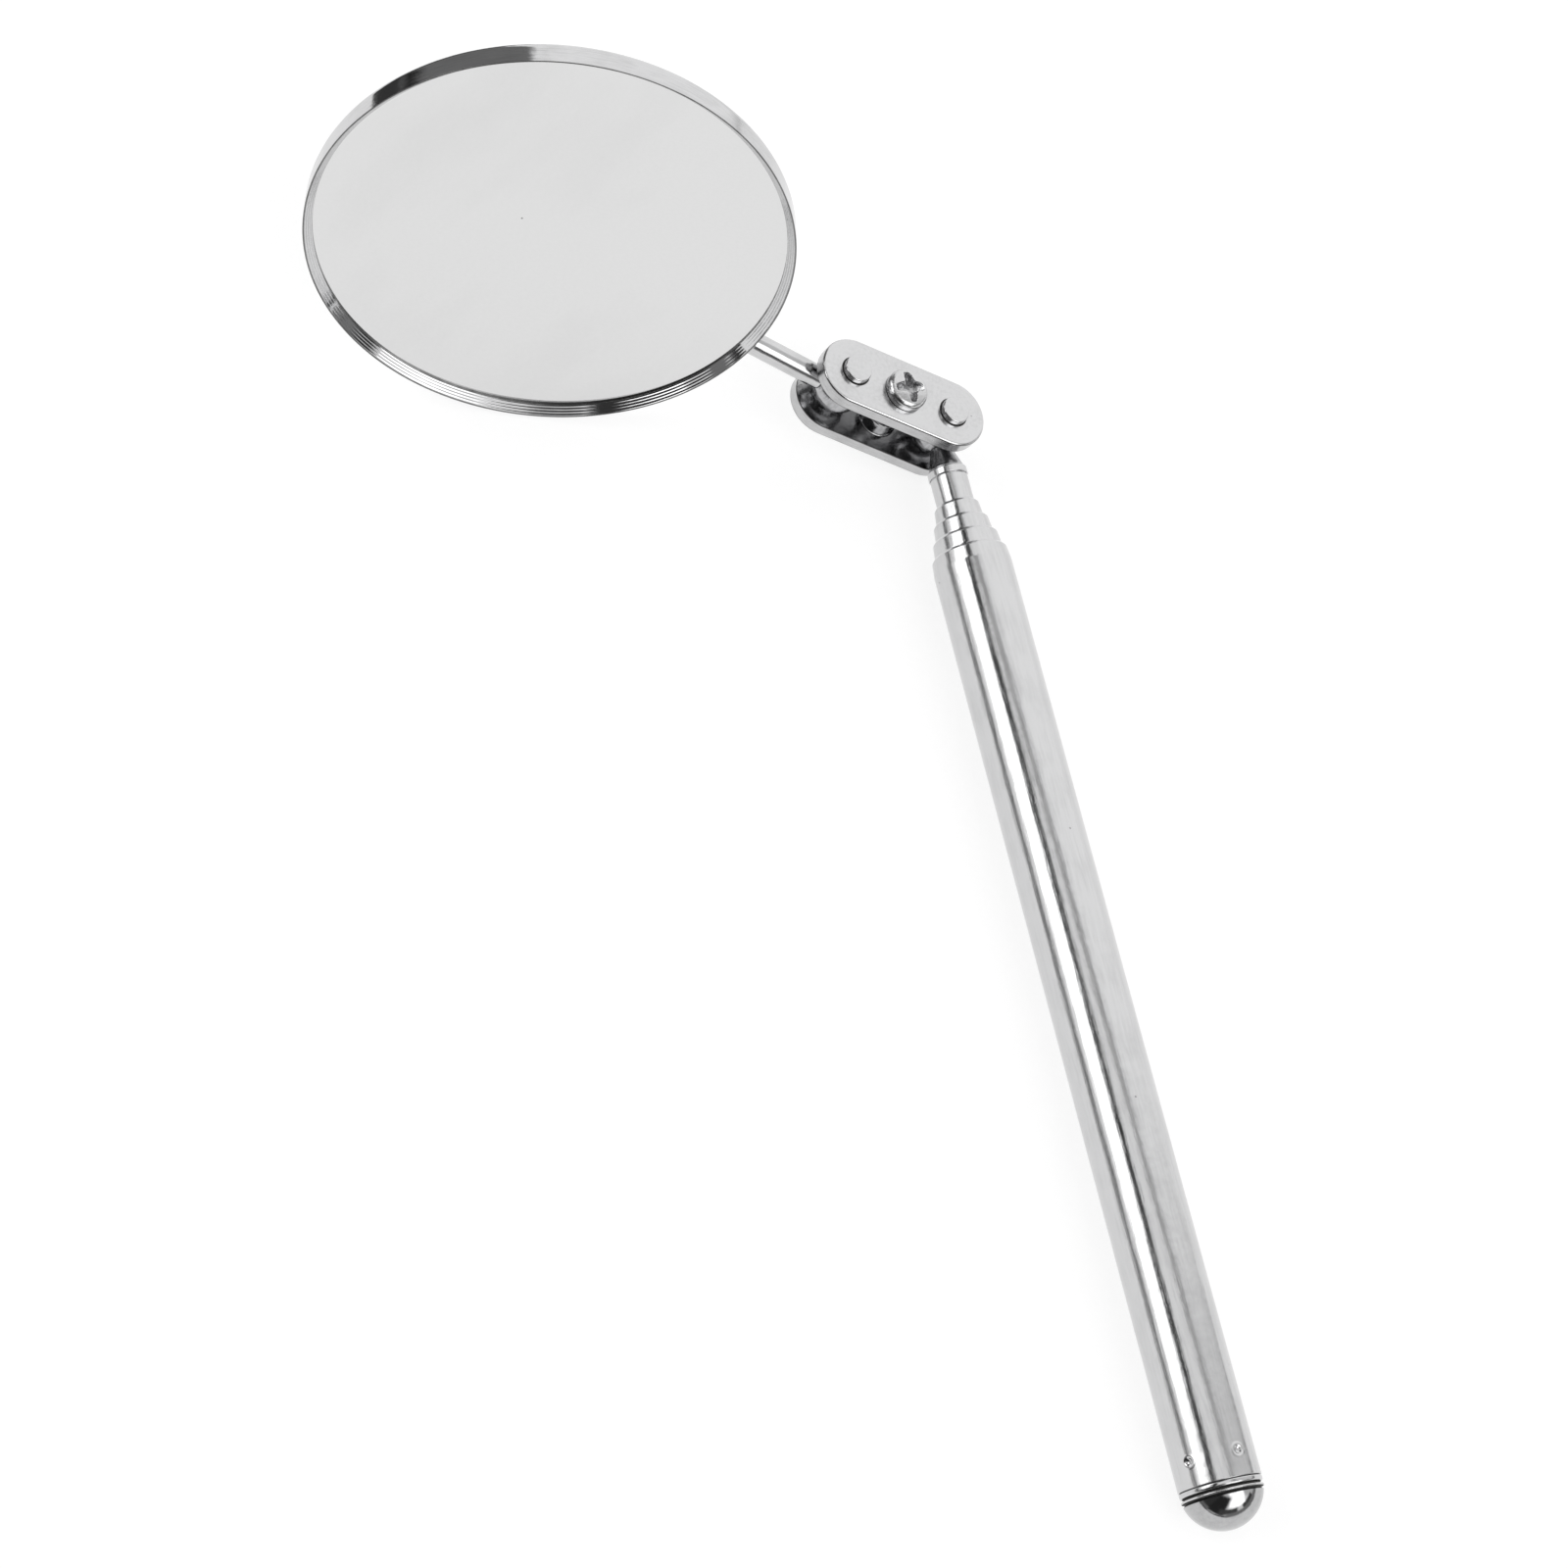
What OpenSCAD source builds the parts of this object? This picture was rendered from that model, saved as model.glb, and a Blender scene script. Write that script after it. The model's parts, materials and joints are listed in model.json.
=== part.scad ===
// Telescopic inspection mirror: a round framed mirror on a short rod, a double ball
// joint clamped between two plates, and a handle of five nested tubes.
// Millimetres. The handle is drawn along +X from the lower ball joint's centre, and
// lying() then sets the whole tool down on Z = 0, as it rests on a table.

/* [Telescopic handle] */
// Outside diameter of the largest tube
tube_d = 8.5; // [8.2:0.1:9]
// Step in diameter from one tube to the next
tube_step = 1.1; // [1.06:0.02:1.14]
// Wall thickness of the tubes
tube_wall = 0.35; // [0.32:0.01:0.36]
// Radial gap between a sliding tube and what it runs in
slide_gap = 0.03; // [0.02:0.01:0.05]
// How far each tube slides out of the next
travel = 77; // [60:1:77]
// From the lower ball's centre to the neck tube's front end
neck_front = 5.1; // [5:0.1:5.6]
// From the lower ball's centre to the largest tube's front end
nose_front = 14.9; // [14:0.1:16]
// How far each tube stands out of the next when closed
nose_step = 1.9; // [1.7:0.1:2]
// From the lower ball's centre to the largest tube's rear end
tube_end = 115.4; // [114.5:0.1:120]
// Height of the tail cap's dome
dome_h = 3.4; // [2.5:0.1:4]

/* [Double ball joint] */
// Diameter of both balls
ball_d = 5.5; // [5.2:0.1:5.8]
// Distance between the two ball centres
ball_gap = 12; // [11.5:0.1:13]
// Thickness of the clamp plates
plate_t = 1.6; // [1.2:0.1:2]
// Width of the clamp plates
plate_w = 7.8; // [7:0.1:8.4]
// Diameter of the pressed-out seats that hold the balls
seat_d = 3.3; // [3:0.1:3.6]
// Height of the pressed-out seats on the plates' outer faces
seat_h = 0.75; // [0.6:0.05:0.9]
// Thread diameter of the clamp screw
screw_d = 2.5; // [2:0.1:3]
// Head diameter of the clamp screw
head_d = 4.8; // [4.2:0.1:5.2]

/* [Mirror head] */
// Outside diameter of the mirror case
case_d = 50; // [45:1:57]
// Depth of the mirror case from its rim to its back
case_h = 3; // [2.8:0.1:3.4]
// Thickness of the mirror glass
glass_t = 1.1; // [0.9:0.05:1.1]
// Diameter of the mirror rod
rod_d = 2.5; // [2.2:0.1:2.6]
// From the upper ball's centre to the middle of the mirror
rod_reach = 36.8; // [36:0.1:45]

/* [Position as drawn] */
// Fold between the handle's axis and the clamp plates
link_fold = 66.8; // [-90:0.1:90]
// Swing of the mirror rod in the plates' plane
rod_swing = 0.5; // [-90:0.1:90]
// Lean of the mirror rod out of the plates' plane
rod_lean = 7.65; // [0:0.05:9]
// Turn of the mirror about its rod
mirror_turn = -79.3; // [-180:0.1:180]

/* [Hidden] */

// How the tool rests: on the tail, the lower seat of the bottom plate and the mirror's rim
rest_roll = -19.025;
rest_dip = 0.2826;
rest_height = 4.819;
// Middle of the resting tool's outline on the table, from the lower ball
outline_middle = [45.193, -30.106];

$fn = 64;
eps = 0.01;

// Handle: tube 0 is the largest, tube 4 the neck tube
neck = 4;
collar_len = 3.1;
spring_len = 10;
bush_len = 6;
end_play = 0.4;
nose_drop = 0.3;
nose_taper = 1.2;

function tube_r(i) = (tube_d - i * tube_step) / 2;
function bore_r(i) = tube_r(i) - tube_wall;
function front_x(i) = i == neck ? neck_front : nose_front - i * nose_step;
function rear_x(i) =
    i == 0 ? tube_end : front_x(i - 1) + collar_len + travel + spring_len + bush_len + end_play;

// Tail cap
plug_len = 3.3;
flange_t = 0.65;
groove_t = 0.2;
lip_t = 0.3;
dome_start = tube_end + flange_t + groove_t + lip_t;
dimple_r = 0.5;
dimple_depth = 0.22;
dimple_from_end = 2.5;
dimple_phase = -0.7;
dimple_count = 5;

// Neck and stud
neck_ring_len = 0.85;
neck_ring_r = tube_r(neck) + 0.1;
stud_waist_r = 1.15;
stud_pin_r = 0.9;
stud_tail = 11;
ball_r = ball_d / 2;
ball_flat = sqrt(pow(ball_r, 2) - pow(stud_waist_r, 2)) + 0.05;
pin_gap = 0.03;

// Clamp plates
seat_r = seat_d / 2;
seat_play = 0.02;
inner_z = sqrt(pow(ball_r, 2) - pow(seat_r, 2)) + seat_play;
outer_z = inner_z + plate_t;
plate_bevel = 0.3;
seat_round = 0.12;
collar_r = 1.9;
collar_h = 1.5;
clear_hole_r = screw_d / 2 + 0.1;
thread_hole_r = screw_d / 2 + 0.03;

// Clamp screw
thread_pitch = 0.45;
thread_depth = 0.22;
thread_top = 1.9;
head_edge_h = 0.5;
head_top_r = 1.95;
head_h = 1.2;
head_dome = 0.25;
cross_span = 2.9;
cross_floor = 1.2;
cross_w = 0.72;
cross_depth = 1;
cross_angle = 24;

// Mirror case
case_r = case_d / 2;
rim_r = case_r - 0.95;
rim_slope = 0.95;
rim_round = 0.12;
glass_depth = 1.15;
case_wall = 0.4;
case_corner = 0.9;
glass_r = case_r - 0.5;
glass_bevel = 0.15;
rod_depth = 1.7;

// Points of a quarter circle of radius r about c, from angle a to angle b
function arc(c, r, a, b, steps = 8) =
    [for (k = [0:steps]) let (t = a + (b - a) * k / steps) [c[0] + r * cos(t), c[1] + r * sin(t)]];

// Turns an outline of [radius, distance] points about the X axis
module turned(outline) {
    rotate([0, 90, 0]) rotate_extrude($fn = 96) polygon(outline);
}

// Frames: the resting tool, the clamp plates and the mirror rod
module lying() {
    translate([-outline_middle[0], -outline_middle[1], rest_height])
        rotate([0, rest_dip, 0])
            rotate([rest_roll, 0, 0])
                children();
}

module at_link() {
    lying() rotate([0, 0, 180 + link_fold]) children();
}

module at_rod() {
    at_link()
        translate([ball_gap, 0, 0])
            rotate([0, 0, rod_swing])
                rotate([0, -rod_lean, 0])
                    rotate([mirror_turn, 0, 0])
                        children();
}

// The mirror's own frame has Z = 0 at the rim, with +Z out of the glass
module at_mirror() {
    at_rod() translate([rod_reach, 0, rod_depth]) children();
}

// A drawn tube with a swaged collar at its front that the next tube runs in
module telescope_tube(i) {
    collar_r_in = tube_r(i + 1) + slide_gap;
    turned([
        [collar_r_in, front_x(i)],
        [tube_r(i) - nose_drop, front_x(i)],
        [tube_r(i), front_x(i) + nose_taper],
        [tube_r(i), rear_x(i)],
        [bore_r(i), rear_x(i)],
        [bore_r(i), front_x(i) + collar_len],
        [collar_r_in, front_x(i) + collar_len - 0.3]
    ]);
}

// Thin brass ring that guides the rear end of tube i in the bore of the tube around it
module slide_bush(i) {
    color("goldenrod") lying()
        turned([
            [tube_r(i), rear_x(i) - bush_len],
            [bore_r(i - 1) - slide_gap, rear_x(i) - bush_len],
            [bore_r(i - 1) - slide_gap, rear_x(i)],
            [tube_r(i), rear_x(i)]
        ]);
}

// Split sleeve of spring bronze that gives tube i its drag
module friction_spring(i) {
    slit_w = 1.2;
    front = rear_x(i) - bush_len - spring_len;
    color("darkgoldenrod") lying() difference() {
        turned([
            [tube_r(i), front],
            [bore_r(i - 1) - slide_gap - 0.02, front + 1],
            [bore_r(i - 1) - slide_gap - 0.02, front + spring_len - 1],
            [tube_r(i), front + spring_len]
        ]);
        translate([front - eps, -slit_w / 2, 0]) cube([spring_len + 2 * eps, slit_w, tube_d]);
    }
}

module outer_tube() {
    color("silver") lying() difference() {
        telescope_tube(0);
        for (k = [0:dimple_count - 1])
            rotate([k * 360 / dimple_count + dimple_phase, 0, 0])
                translate([tube_end - dimple_from_end, 0, tube_r(0) + dimple_r - dimple_depth])
                    sphere(r = dimple_r, $fn = 32);
    }
}

module end_cap() {
    base_r = tube_r(0) - 0.1;
    dome_r = (pow(base_r, 2) + pow(dome_h, 2)) / (2 * dome_h);
    dome_x = dome_start + dome_h - dome_r;
    rise = asin((dome_start - dome_x) / dome_r);
    color("silver") lying()
        turned(concat(
            [
                [0, tube_end - plug_len],
                [bore_r(0) - 0.2, tube_end - plug_len],
                [bore_r(0), tube_end - plug_len + 0.5],
                [bore_r(0), tube_end],
                [tube_r(0) - 0.05, tube_end],
                [tube_r(0) - 0.05, tube_end + flange_t],
                [tube_r(0) - 0.3, tube_end + flange_t],
                [tube_r(0) - 0.3, tube_end + flange_t + groove_t],
                [tube_r(0) - 0.08, tube_end + flange_t + groove_t],
                [tube_r(0) - 0.08, dome_start - 0.05]
            ],
            arc([0, dome_x], dome_r, rise, 90, 16)
        ));
}

module tube_2() {
    color("silver") lying() telescope_tube(1);
}

module tube_3() {
    color("silver") lying() telescope_tube(2);
}

module tube_4() {
    color("silver") lying() telescope_tube(3);
}

// Smallest tube, with a rolled ring at its mouth
module neck_tube() {
    ring_end = neck_front + neck_ring_len;
    groove_r = tube_r(neck) - 0.12;
    color("silver") lying()
        turned([
            [bore_r(neck), neck_front],
            [neck_ring_r - 0.15, neck_front],
            [neck_ring_r, neck_front + 0.15],
            [neck_ring_r, ring_end],
            [groove_r, ring_end],
            [groove_r, ring_end + 0.15],
            [tube_r(neck), ring_end + 0.15],
            [tube_r(neck), rear_x(neck)],
            [bore_r(neck), rear_x(neck)]
        ]);
}

// Cone that joins the lower ball to the neck tube, with a shank pressed into it
module ball_stud() {
    color("gray") lying()
        turned([
            [0, 0],
            [stud_pin_r, 0],
            [stud_pin_r, ball_flat],
            [stud_waist_r, ball_flat],
            [tube_r(neck) - 0.1, neck_front],
            [bore_r(neck), neck_front],
            [bore_r(neck), stud_tail - 0.3],
            [bore_r(neck) - 0.3, stud_tail],
            [0, stud_tail]
        ]);
}

// Ball with a blind hole along X for the pin of its stud or rod
module joint_ball() {
    rotate([0, 90, 0]) difference() {
        sphere(r = ball_r, $fn = 96);
        translate([0, 0, -0.1]) cylinder(r = stud_pin_r + pin_gap, h = ball_r);
        translate([0, 0, ball_flat - 0.05]) cylinder(r = ball_r, h = ball_r);
    }
}

module lower_ball() {
    color("dimgray") lying() joint_ball();
}

module upper_ball() {
    color("dimgray") at_rod() joint_ball();
}

// Clamp plate lying on its inner face: round ends, bevelled outer edge and two seats
module clamp_plate(hole_r) {
    half = [
        [0, 0],
        [plate_w / 2, 0],
        [plate_w / 2, plate_t - plate_bevel],
        [plate_w / 2 - plate_bevel, plate_t],
        [0, plate_t]
    ];
    other_half = [for (p = half) [-p[0], p[1]]];
    difference() {
        union() {
            for (x = [0, ball_gap])
                translate([x, 0, 0]) {
                    rotate_extrude($fn = 96) polygon(half);
                    rotate_extrude() polygon([
                        [0, plate_t - eps],
                        [seat_r, plate_t - eps],
                        [seat_r, plate_t + seat_h - seat_round],
                        [seat_r - seat_round, plate_t + seat_h],
                        [0, plate_t + seat_h]
                    ]);
                }
            for (outline = [half, other_half])
                rotate([90, 0, 90]) linear_extrude(ball_gap) polygon(outline);
        }
        for (x = [0, ball_gap])
            translate([x, 0, -eps]) cylinder(r = seat_r, h = seat_h + eps);
        translate([ball_gap / 2, 0, -eps]) cylinder(r = hole_r, h = plate_t + 2 * eps);
    }
}

module top_plate() {
    color("lightgray") at_link() translate([0, 0, inner_z]) clamp_plate(clear_hole_r);
}

// Bottom plate, with the extruded collar that carries the thread
module bottom_plate() {
    color("lightgray") at_link() {
        translate([0, 0, -inner_z]) mirror([0, 0, 1]) clamp_plate(thread_hole_r);
        translate([ball_gap / 2, 0, -inner_z])
            difference() {
                translate([0, 0, -eps]) cylinder(r = collar_r, h = collar_h + eps);
                translate([0, 0, -2 * eps]) cylinder(r = thread_hole_r, h = collar_h + 4 * eps);
            }
    }
}

// Pan-head cross-recess screw; its thread is drawn as rings
module clamp_screw() {
    thread_end = -outer_z + 0.2;
    rings = floor((thread_top - thread_end) / thread_pitch);
    thread = [
        for (k = [0:rings - 1])
            let (z = thread_top - k * thread_pitch)
                for (p = [[0, 0], [thread_depth, thread_pitch / 2]])
                    [screw_d / 2 - p[0], z - p[1]]
    ];
    arm = [
        [-cross_span / 2, head_h + head_dome + eps],
        [-cross_floor / 2, head_h + head_dome - cross_depth],
        [cross_floor / 2, head_h + head_dome - cross_depth],
        [cross_span / 2, head_h + head_dome + eps]
    ];
    color("silver") at_link() translate([ball_gap / 2, 0, 0])
        difference() {
            union() {
                rotate_extrude($fn = 48) polygon(concat(
                    [[0, outer_z], [screw_d / 2, outer_z]],
                    thread,
                    [[screw_d / 2 - 0.3, thread_end], [0, thread_end]]
                ));
                translate([0, 0, outer_z]) rotate_extrude($fn = 96) polygon(concat(
                    [[0, 0], [head_d / 2, 0]],
                    arc([head_d / 2 - (head_h - head_edge_h), head_edge_h], head_h - head_edge_h, 0, 70, 5),
                    [[0, head_h + head_dome]]
                ));
            }
            translate([0, 0, outer_z])
                for (a = [0, 90])
                    rotate([90, 0, cross_angle + a])
                        linear_extrude(cross_w, center = true) polygon(arm);
        }
}

// Rod from the upper ball to the case, its end shaped to the case's round wall
module mirror_rod() {
    rod_r = rod_d / 2;
    color("silver") at_rod() difference() {
        turned([
            [0, 0],
            [stud_pin_r, 0],
            [stud_pin_r, ball_flat],
            [rod_r - 0.1, ball_flat],
            [rod_r, ball_flat + 0.1],
            [rod_r, rod_reach - case_r + 0.5],
            [0, rod_reach - case_r + 0.5]
        ]);
        translate([rod_reach, 0, -case_h]) cylinder(r = case_r, h = 2 * case_h, $fn = 192);
    }
}

// Shallow pressed case whose rim is rolled in over the edge of the glass
module mirror_case() {
    floor_z = -case_h + case_wall;
    color("silver") at_mirror() rotate_extrude($fn = 192) polygon(concat(
        [[0, floor_z], [0, -case_h]],
        arc([case_r - case_corner, -case_h + case_corner], case_corner, -90, 0),
        arc([case_r - rim_round, -rim_round], rim_round, 0, 90),
        [
            [rim_r, -rim_slope],
            [rim_r, -glass_depth],
            [glass_r + 0.05, -glass_depth],
            [glass_r + 0.05, floor_z]
        ]
    ));
}

// Pad that fills the space between the glass and the case's floor
module backing_pad() {
    color("saddlebrown") at_mirror()
        translate([0, 0, -case_h + case_wall])
            cylinder(r = glass_r - 0.3, h = case_h - case_wall - glass_depth - glass_t, $fn = 192);
}

module mirror_glass() {
    color("lightblue") at_mirror() rotate_extrude($fn = 192) polygon([
        [0, -glass_depth],
        [glass_r - glass_bevel, -glass_depth],
        [glass_r, -glass_depth - glass_bevel],
        [glass_r, -glass_depth - glass_t],
        [0, -glass_depth - glass_t]
    ]);
}

outer_tube();
end_cap();
tube_2();
slide_bush(1);  // slide_bush_2
friction_spring(1);  // friction_spring_2
tube_3();
slide_bush(2);  // slide_bush_3
friction_spring(2);  // friction_spring_3
tube_4();
slide_bush(3);  // slide_bush_4
friction_spring(3);  // friction_spring_4
neck_tube();
slide_bush(4);  // slide_bush_5
friction_spring(4);  // friction_spring_5
ball_stud();
lower_ball();
top_plate();
bottom_plate();
clamp_screw();
upper_ball();
mirror_rod();
mirror_case();
backing_pad();
mirror_glass();
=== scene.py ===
"""Looks of the telescopic inspection mirror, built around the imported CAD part.

Each piece is drawn in millimetres in the frame of what it belongs to: the handle, the clamp
plates, the mirror rod or the mirror. Radii, ends and thicknesses are read from the CAD nodes.
"""

import json
import math

import bmesh
import bpy
from mathutils import Matrix, Vector, geometry, noise


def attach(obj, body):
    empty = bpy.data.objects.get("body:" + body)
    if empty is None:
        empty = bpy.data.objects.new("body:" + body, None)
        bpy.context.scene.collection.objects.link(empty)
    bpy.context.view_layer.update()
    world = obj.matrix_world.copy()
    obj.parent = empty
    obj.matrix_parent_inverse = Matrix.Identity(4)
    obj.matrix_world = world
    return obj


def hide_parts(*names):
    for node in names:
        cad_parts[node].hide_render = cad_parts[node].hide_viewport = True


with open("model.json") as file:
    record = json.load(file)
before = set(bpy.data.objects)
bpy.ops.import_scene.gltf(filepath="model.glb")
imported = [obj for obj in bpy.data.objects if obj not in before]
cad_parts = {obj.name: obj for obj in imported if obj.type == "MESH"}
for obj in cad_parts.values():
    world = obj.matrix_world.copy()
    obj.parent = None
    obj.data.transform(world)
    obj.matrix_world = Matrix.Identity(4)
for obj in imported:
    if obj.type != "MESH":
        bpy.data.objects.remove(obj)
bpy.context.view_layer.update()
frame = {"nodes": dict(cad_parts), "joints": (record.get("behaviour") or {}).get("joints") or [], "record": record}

MM = 0.001
TAU = 2 * math.pi
JOINTS = {joint["name"]: joint for joint in frame["joints"]}
MOUNTS = {mount["name"]: mount for mount in frame["record"]["mounts"]}


# ---------------------------------------------------------------- frames from the CAD

def axes(origin, x, z):
    """A frame at origin with +X along x and +Z as near to z as it can be, scaled to millimetres."""
    x = Vector(x).normalized()
    y = Vector(z).cross(x).normalized()
    z = x.cross(y)
    turn = Matrix((x, y, z)).transposed().to_4x4()
    return Matrix.Translation(Vector(origin)) @ turn @ Matrix.Scale(MM, 4)


LOWER_BALL = Vector(JOINTS["linkage_turn"]["pos_m"])
UPPER_BALL = Vector(JOINTS["mirror_swing"]["pos_m"])
PLATE_NORMAL = Vector(JOINTS["linkage_fold"]["axis"])
ROD_AXIS = Vector(JOINTS["mirror_turn"]["axis"])
MIRROR_NORMAL = -Vector(MOUNTS["mirror_back"]["axis"])

HANDLE = axes(LOWER_BALL, JOINTS["linkage_turn"]["axis"], PLATE_NORMAL)
LINK = axes(LOWER_BALL, UPPER_BALL - LOWER_BALL, PLATE_NORMAL)
ROD = axes(UPPER_BALL, ROD_AXIS, MIRROR_NORMAL)
BACK = axes(MOUNTS["mirror_back"]["pos_m"], ROD_AXIS, MIRROR_NORMAL)


class Extent:
    """What a CAD node takes up in a frame, in millimetres."""

    def __init__(self, node, place):
        inverse = place.inverted()
        points = [inverse @ v.co for v in frame["nodes"][node].data.vertices]
        self.low = [min(p[k] for p in points) for k in range(3)]
        self.high = [max(p[k] for p in points) for k in range(3)]
        self.radius_x = max(math.hypot(p.y, p.z) for p in points)
        self.radius_z = max(math.hypot(p.x, p.y) for p in points)


# ---------------------------------------------------------------- meshes

class Shell:
    """A closed surface built from rings of points that are joined and capped."""

    def __init__(self):
        self.points = []
        self.faces = []

    def ring(self, points):
        first = len(self.points)
        self.points.extend(Vector(p) for p in points)
        return list(range(first, len(self.points)))

    def join(self, a, b):
        n = len(a)
        for k in range(n):
            self.faces.append((a[k], a[(k + 1) % n], b[(k + 1) % n], b[k]))

    def chain(self, rings):
        for a, b in zip(rings, rings[1:]):
            self.join(a, b)

    def fan(self, ring, point, flip=False):
        tip = self.ring([point])[0]
        n = len(ring)
        for k in range(n):
            a, b = ring[k], ring[(k + 1) % n]
            self.faces.append((b, a, tip) if flip else (a, b, tip))

    def cap(self, outer, holes, flip=False):
        """Fills the flat region inside outer and outside the holes."""
        loops = [outer, *holes]
        index = [i for loop in loops for i in loop]
        flat = [self.points[i].xy for i in index]
        edges = []
        start = 0
        for loop in loops:
            n = len(loop)
            edges.extend((start + k, start + (k + 1) % n) for k in range(n))
            start += n
        made = geometry.delaunay_2d_cdt(flat, edges, [], 0, 1e-6)
        new_points, triangles, origins = made[0], made[2], made[3]
        height = self.points[outer[0]].z
        place = []
        for point, origin in zip(new_points, origins):
            place.append(index[origin[0]] if origin else self.ring([(*point, height)])[0])
        hole_outlines = [[self.points[i].xy for i in loop] for loop in holes]
        for tri in triangles:
            middle = sum((new_points[k] for k in tri), Vector((0, 0))) / 3
            if any(inside(middle, outline) for outline in hole_outlines):
                continue
            if not inside(middle, flat[:len(outer)]):
                continue
            face = tuple(place[k] for k in tri)
            self.faces.append(face[::-1] if flip else face)

    def piece(self, name, place, body, material, slot, replaces=(), sharp=40):
        mesh = bpy.data.meshes.new(name)
        mesh.from_pydata([p[:] for p in self.points], [], self.faces)
        mesh.validate()
        mesh.shade_smooth()
        mesh.set_sharp_from_angle(angle=math.radians(sharp))
        mesh.materials.append(material)
        mesh.transform(place)
        obj = bpy.data.objects.new(name, mesh)
        bpy.context.scene.collection.objects.link(obj)
        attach(obj, body)
        if replaces:
            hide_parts(*replaces)
        return obj


def inside(point, outline):
    """Whether a flat point lies in a closed outline."""
    found = False
    n = len(outline)
    for k in range(n):
        a, b = outline[k], outline[(k + 1) % n]
        if (a.y > point.y) != (b.y > point.y):
            if point.x < a.x + (point.y - a.y) * (b.x - a.x) / (b.y - a.y):
                found = not found
    return found


def soften(corners, closed=True, steps=6):
    """Rounds an outline's corners (u, v, radius), with a point close on each side to keep flats flat."""
    out = []
    n = len(corners)
    for k, (u, v, r) in enumerate(corners):
        p = Vector((u, v))
        if r <= 0 or (not closed and k in (0, n - 1)):
            out.append(p)
            continue
        to_a = Vector(corners[k - 1][:2]) - p
        to_b = Vector(corners[(k + 1) % n][:2]) - p
        half = to_a.angle(to_b) / 2
        if half > math.radians(89):
            out.append(p)
            continue
        reach = min(r / math.tan(half), 0.42 * to_a.length, 0.42 * to_b.length)
        r = reach * math.tan(half)
        to_a.normalize()
        to_b.normalize()
        centre = p + (to_a + to_b).normalized() * (r / math.sin(half))
        first, last = p + to_a * reach, p + to_b * reach
        out.append(first + to_a * 0.12 * reach)
        a, b = first - centre, last - centre
        for s in range(steps + 1):
            out.append(centre + a.slerp(b, s / steps).normalized() * r)
        out.append(last + to_b * 0.12 * reach)
    return out


def arc(centre, radius, start, end, steps):
    """Corners without rounding along an arc, angles in degrees."""
    out = []
    for k in range(steps + 1):
        t = math.radians(start + (end - start) * k / steps)
        out.append((centre[0] + radius * math.cos(t), centre[1] + radius * math.sin(t), 0))
    return out


def turn_x(outline, segments, warp=None):
    """Turns an outline of (radius, distance) about the X axis. warp may move each point.

    An outline that starts and ends on the axis is closed by fans, any other one is a loop.
    """
    shell = Shell()
    rings = []
    poles = []
    for r, x in outline:
        if r < 1e-6:
            poles.append(x)
            continue
        ring = [Vector((x, r * math.cos(a), r * math.sin(a))) for a in turns(segments)]
        rings.append(shell.ring(warp(p) for p in ring) if warp else shell.ring(ring))
    shell.chain(rings)
    if poles:
        shell.fan(rings[0], (poles[0], 0, 0), flip=True)
        shell.fan(rings[-1], (poles[-1], 0, 0))
    else:
        shell.join(rings[-1], rings[0])
    return shell


def turn_z(outline, segments):
    """The same about the Z axis, for an outline of (radius, height)."""
    shell = turn_x(outline, segments)
    shell.points = [Vector((p.y, p.z, p.x)) for p in shell.points]
    return shell


def turns(segments):
    return [TAU * k / segments for k in range(segments)]


# ---------------------------------------------------------------- materials

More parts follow.
